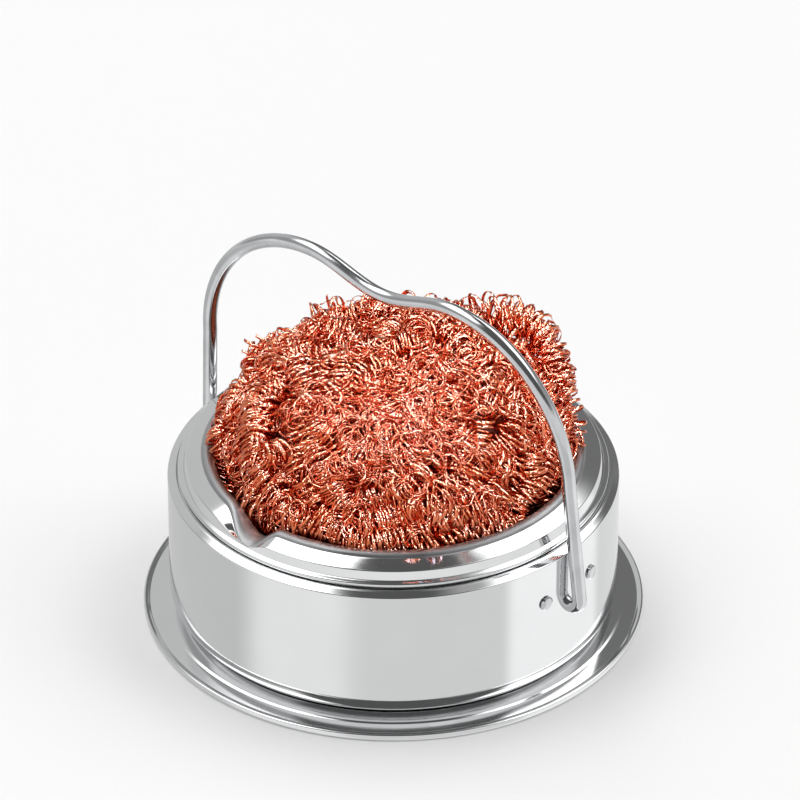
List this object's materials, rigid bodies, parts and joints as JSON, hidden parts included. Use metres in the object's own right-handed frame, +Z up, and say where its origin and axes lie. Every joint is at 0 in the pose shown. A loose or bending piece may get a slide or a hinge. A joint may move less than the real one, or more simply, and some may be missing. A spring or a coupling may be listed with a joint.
{
  "type": "soldering iron stand",
  "caption": "Round steel bench stand: flanged bowl of copper wire wool under a lift-off collar, with a swinging wire bail that carries a soldering iron.",
  "frame": {"origin": "centre of the round face that the stand rests on", "axes": "+Z up, +X along the bail's pivot; the bail leans a little towards -Y, the side of the notch in the collar"},
  "size_m": [0.09, 0.09, 0.0715],
  "materials": {
    "polished_steel": "mirror-polished stainless steel",
    "pressed_steel": "bright pressed stainless steel",
    "spring_wire": "drawn bright steel wire",
    "copper_wire": "bright copper-coloured flat wire wool"
  },
  "bodies": {
    "base": {"base_plate": "pressed_steel", "bowl": "polished_steel", "right_pivot_strap": "pressed_steel", "left_pivot_strap": "pressed_steel", "right_front_rivet": "spring_wire", "right_back_rivet": "spring_wire", "left_front_rivet": "spring_wire", "left_back_rivet": "spring_wire", "copper_wool": "copper_wire"},
    "bail": {"bail": "spring_wire"},
    "collar": {"collar": "polished_steel"}
  },
  "joints": [
    {"name": "bail_swing", "type": "hinge", "parent": "base", "child": "bail", "pos_m": [0, 0, 0.01605], "axis": [1, 0, 0], "range_deg": [-106, 100]},
    {"name": "collar_lift", "type": "slide", "parent": "base", "child": "collar", "axis": [0, 0, 1], "range_m": [0, 0.012]}
  ]
}
